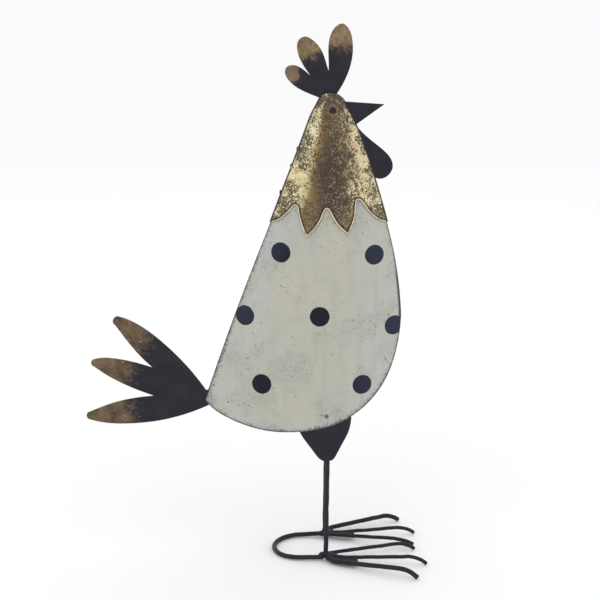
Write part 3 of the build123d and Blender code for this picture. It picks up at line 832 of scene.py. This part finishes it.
MATERIALS = {
    "body_paint": body_paint(),
    "gold_leaf": gold_leaf(),
    "trim_wire": trim_metal(),
    "black_sheet": black_paint("black_sheet"),
    "black_wire": black_paint("black_wire"),
}
COMB_TIPS, COMB_ROOT = [(12.5, 453.0, 21.0), (-19.0, 442.5, 19.0), (-34.0, 415.0, 12.0)], (4.0, 392.0)
TAIL_TIPS, TAIL_ROOT = [(-179.0, 209.5, 37.0), (-198.5, 171.0, 36.0), (-204.0, 122.5, 40.0)], (-98.0, 139.0)
PLATE_PAINTS = {
    "comb": black_paint("comb_paint", COMB_TIPS, COMB_ROOT, COMB_GOLDS),
    "tail": black_paint("tail_paint", TAIL_TIPS, TAIL_ROOT, TAIL_GOLDS),
}
WEB_PAINT = black_paint("web_paint", shine=0.06)


def finish_piece(obj, slot, *nodes, material=None):
    """Gives a piece its material and its place in the frame."""
    obj.data.materials.clear()
    obj.data.materials.append(material or MATERIALS[slot])
    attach(obj, "root")
    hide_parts(*nodes)


# ------------------------------------------------------------------ body, neck and trim
SHELL_COLUMNS, SHELL_ROWS, CAPE_COLUMNS, CAPE_ROWS = 121, 150, 301, 56
CROWN_SPAN = (398.9, 380)        # heights above and below the whole crown
SEAM_CROWDING = 0.25             # share by which columns crowd towards the seams

even_us = np.linspace(0, 1, SHELL_COLUMNS)
crowded_us = (1 - np.cos(even_us * math.pi)) / 2
shell_us = crowded_us * SEAM_CROWDING + even_us * (1 - SEAM_CROWDING)
shell_low = bisect_z(shell_us, lambda x, z: rim_room(x, z) > 0, 95, 245, 0.0)
shell_high = bisect_z(shell_us, under_crown, *CROWN_SPAN, 0.0)
cape_us = np.linspace(0, 1, CAPE_COLUMNS)
cape_low = bisect_z(cape_us, above_zigzag, 272, 330, CAPE_HIGH)
cape_high = bisect_z(cape_us, under_crown, *CROWN_SPAN, CAPE_HIGH)
zigzag_u = np.array([u_of(x, z, CAPE_HIGH) for x, z in zigzag_line])
zigzag_x, zigzag_depth, _ = skin(zigzag_u, zigzag_line[:, 1], CAPE_HIGH)


FAR = 99.0    # a distance from an edge that no effect reaches


def shell_edge(x, z):
    """Distance from a shell's rim or crown, in millimetres."""
    crown_room = np.where(z > CROWN_FOOT_Z - 8, CROWN[2] - np.hypot(x - CROWN[0], z - CROWN[1]), FAR)
    return np.minimum(rim_room(x, z), np.maximum(crown_room, 0))


def cape_edge(x, z):
    """Distance from the cape's zigzag edge in side view, in millimetres."""
    gap = np.full(x.shape, FAR)
    for px, pz in zigzag_line:
        gap = np.minimum(gap, np.hypot(x - px, z - pz))
    return gap


for name, side in SIDES.items():
    shell = sheet_piece(
        f"{name}_shell_skin", side, shell_us, shell_low, shell_high, SHELL_ROWS,
        (0.0, -SHELL_T), shell_edge, SHELL_DENT,
    )
    finish_piece(shell, "body_paint", f"{name}_body_shell")
    cape = sheet_piece(
        f"{name}_cape_skin", side, cape_us, cape_low, cape_high, CAPE_ROWS,
        (CAPE_HIGH, CAPE_LOW), cape_edge, 0.0,
    )
    finish_piece(cape, "gold_leaf", f"{name}_neck_cape")
    bead = np.column_stack([zigzag_x, side * (zigzag_depth + BEAD_LIFT), zigzag_line[:, 1]])
    keep = np.concatenate([[True], np.linalg.norm(np.diff(bead, axis=0), axis=1) > BEAD_STEP])
    trim = wire_piece(f"{name}_trim_bead", [bead[keep]], BEAD_D, 0.0, 0.1, 3.7 * side)
    finish_piece(trim, "trim_wire", f"{name}_cape_trim")

# ------------------------------------------------------------------ plates in the seam
for node in ("comb", "tail", "beak", "wattle", "right_thigh", "left_thigh"):
    plate = bevelled_plate(f"{node}_plate", node, PLATE_BEVEL)
    finish_piece(plate, "black_sheet", node, material=PLATE_PAINTS.get(node))


# ------------------------------------------------------------------ legs and feet
def on_side(corners, side):
    """Foot corners on one side of the hen, with heights above the ground turned to the tables' heights."""
    return [(x, side * y, z + GROUND_Z) for x, y, z in corners]


def rod_at(height):
    """The centre of a leg rod at a height above the ground."""
    rise = height - FOOT_Z
    return (LEG_LEAN * rise, STANCE - LEG_SPLAY * rise, height)


for name, side in SIDES.items():
    leg_path = rounded_path(on_side([rod_at(LEG_TOP_Z), *OUTER_TOES[name]], side), OUTER_BENDS)
    rod = wire_piece(f"{name}_leg_rod", [leg_path], ROD_D, 0.35, 0.07, 1.1 * side)
    finish_piece(rod, "black_wire", f"{name}_leg")
    centre_path = rounded_path(on_side(CENTRE_TOES[name], side), CENTRE_BENDS)
    centre = wire_piece(f"{name}_centre_toe_wire", [centre_path], TOE_D, 0.45, 0.09, 2.3 * side)
    finish_piece(centre, "black_wire", f"{name}_centre_toe")
    inner_path = rounded_path(on_side(INNER_TOES[name], side), INNER_BENDS)
    inner = wire_piece(f"{name}_inner_toe_wire", [inner_path], TOE_D, 0.45, 0.09, 4.9 * side)
    finish_piece(inner, "black_wire", f"{name}_inner_toe")
    web = bevelled_plate(f"{name}_foot_web_fill", f"{name}_foot_web", WEB_BEVEL)
    finish_piece(web, "black_wire", f"{name}_foot_web", material=WEB_PAINT)

slope = (FOOT_Z - LOOP_REAR_Z) / (LOOP_ARM[0][0] - LOOP_ARM[-1][0])
arm = [(x, y, LOOP_REAR_Z + (x - LOOP_ARM[-1][0]) * slope) for x, y in LOOP_ARM]
loop_path = rounded_path(on_side(arm, -1) + on_side(arm[::-1], 1), [*LOOP_BENDS, *LOOP_BENDS[::-1]])
finish_piece(wire_piece("heel_loop_wire", [loop_path], ROD_D, 0.3, 0.06, 6.2), "black_wire", "heel_loop")

# ------------------------------------------------------------------ welds
BACK_TACKS = [352.0, 338.0, 316.0]
TACK_SHIFT, TACK_RADII = 0.35, (1.2, 1.5, 2.1)
LEG_WELD_HEIGHTS, LEG_WELD_SHIFT, LEG_WELD_RADII = (98.0, 128.0, 146.0), 0.8, (2.9, 1.9, 4.2)
# Each lump at a foot: centre, radii and noise seed.
FOOT_LUMPS = [
    ((0.2, 24.2, 4.6), (4.2, 3.2, 2.7), 11),
    ((4.4, 24.6, 4.4), (3.8, 3.2, 2.1), 15),
    ((-3.2, 24.2, 4.4), (3.4, 2.8, 2.1), 19),
    ((0.1, 26.0, 6.8), (2.6, 2.5, 2.6), 23),
    ((3.0, 30.0, 3.9), (3.2, 3.6, 1.9), 27),
]
tack_blobs = []
for seed, height in enumerate(BACK_TACKS):
    x = float(skin(0.0, height, CAPE_HIGH)[0])
    tack_blobs.append(((x + TACK_SHIFT, 0, height), TACK_RADII, seed))
finish_piece(weld_piece("seam_tacks", tack_blobs), "black_wire", "seam_tack_welds", material=tack_paint())

foot_blobs, leg_blobs = [], []
for side in SIDES.values():
    for (x, y, z), radii, seed in FOOT_LUMPS:
        foot_blobs.append(((x, side * y, z + GROUND_Z), radii, seed + side))
    for height in LEG_WELD_HEIGHTS:
        x, y, z = rod_at(height)
        leg_blobs.append(((x, side * (y + LEG_WELD_SHIFT), z + GROUND_Z), LEG_WELD_RADII, height + side))
finish_piece(weld_piece("foot_weld_lumps", foot_blobs), "black_wire", "foot_welds")
finish_piece(weld_piece("leg_weld_lumps", leg_blobs), "black_wire", "leg_welds")

# ------------------------------------------------------------------ CAD nodes that stay
for node in ("right_eye", "left_eye"):
    for material_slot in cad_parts[node].material_slots:
        material_slot.material = MATERIALS["black_wire"]

# ------------------------------------------------------------------ stage
FLOOR_HALF, SKY_STRENGTH = 60.0, 0.98
floor_mesh = bpy.data.meshes.new("studio_floor")
floor_corners = [(x * FLOOR_HALF, y * FLOOR_HALF, 0) for x, y in ((-1, -1), (1, -1), (1, 1), (-1, 1))]
floor_mesh.from_pydata(floor_corners, [], [(0, 1, 2, 3)])
floor_mesh.materials.append(floor_paint())
floor = new_object("studio_floor", floor_mesh)

scene = bpy.context.scene
scene.view_settings.view_transform = "Standard"
world = bpy.data.worlds.new("studio")
world.use_nodes = True
sky = world.node_tree.nodes["Background"].inputs
sky["Color"].default_value = (1.0, 1.0, 1.0, 1)
sky["Strength"].default_value = SKY_STRENGTH
scene.world = world


def soft_light(name, place, target, size, power, colour=(1, 1, 1)):
    """A large square lamp aimed at a point."""
    lamp = bpy.data.lights.new(name, "AREA")
    lamp.size = size
    lamp.energy = power
    lamp.color = colour
    obj = bpy.data.objects.new(name, lamp)
    obj.location = place
    obj.rotation_euler = (Vector(target) - Vector(place)).to_track_quat("-Z", "Y").to_euler()
    scene.collection.objects.link(obj)


middle = (0.02, 0.0, 0.23)
soft_light("key", (-0.7, -1.5, 1.6), middle, 1.6, 3.5, (1.0, 0.985, 0.96))
soft_light("fill", (1.6, -1.2, 0.9), middle, 1.6, 1.5)
soft_light("back", (0.0, 1.5, 1.6), middle, 1.8, 1.5)

TARGET = Vector((LEG_X - 0.022, 0.0, 0.223))
DISTANCE, ELEVATION = 1.2, math.radians(13)
camera_data = bpy.data.cameras.new("camera")
camera_data.lens = 85.8
camera_data.sensor_width = 36
camera = bpy.data.objects.new("camera", camera_data)
camera.location = TARGET + Vector((0, -math.cos(ELEVATION), math.sin(ELEVATION))) * DISTANCE
camera.rotation_euler = (math.pi / 2 - ELEVATION, 0, 0)
scene.collection.objects.link(camera)
scene.camera = camera

bpy.context.view_layer.update()
